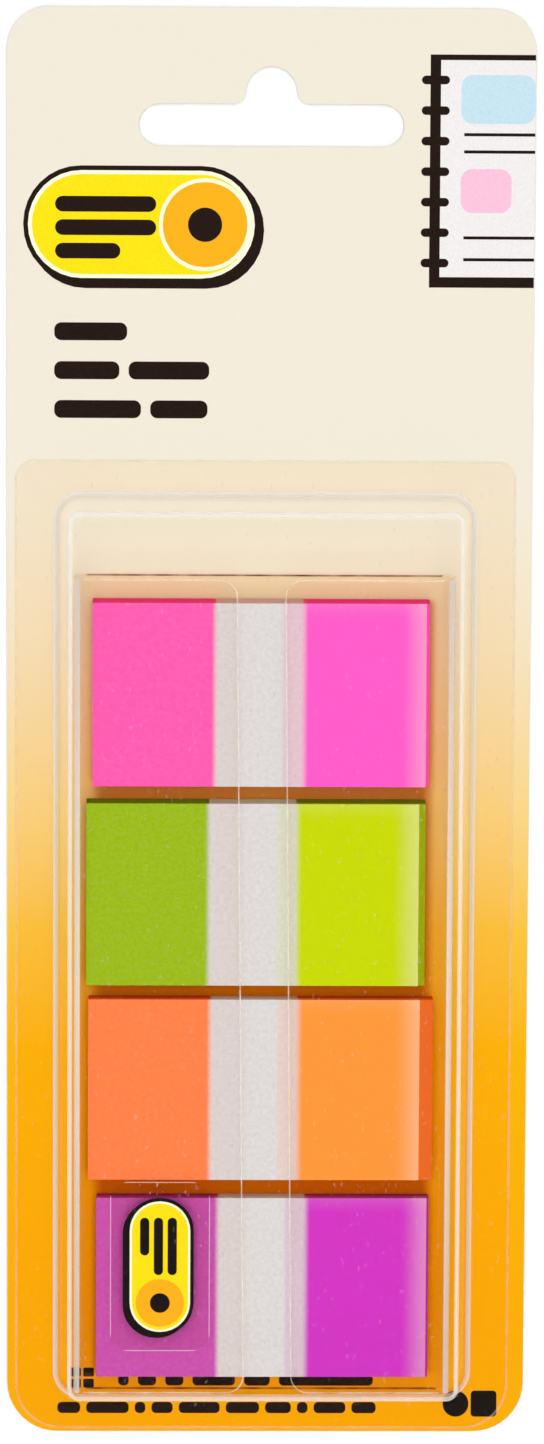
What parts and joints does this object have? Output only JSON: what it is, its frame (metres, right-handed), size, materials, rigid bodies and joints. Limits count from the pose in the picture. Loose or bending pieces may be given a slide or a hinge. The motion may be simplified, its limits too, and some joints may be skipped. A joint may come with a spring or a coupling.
{
  "type": "carded pack of sticky index tabs",
  "caption": "Hang card with a clear blister holding a folded film dispenser of narrow sticky index tabs with coloured tips, stacked in pads under two wings.",
  "frame": {"origin": "middle of the backing card's back face, on the surface the pack lies on", "axes": "+Z out of the clear dome, +Y along the card towards the hang hole, +X across the card"},
  "size_m": [0.068, 0.186, 0.012],
  "materials": {
    "printed_card": "coated paperboard, cream at the top running to orange",
    "clear_blister": "clear thermoformed film, glossy",
    "clear_sleeve": "clear folded film, glossy, faintly grey",
    "pink_film": "frosted film with pink tips",
    "green_film": "frosted film with yellow green tips",
    "orange_film": "frosted film with orange tips",
    "purple_film": "frosted film with purple tips",
    "label_film": "clear printed sticker"
  },
  "bodies": {
    "root": {"backing_card": "printed_card", "blister": "clear_blister", "dispenser_sleeve": "clear_sleeve", "pink_pad": "pink_film", "green_pad": "green_film", "orange_pad": "orange_film", "purple_pad": "purple_film", "dispenser_label": "label_film"}
  },
  "joints": []
}
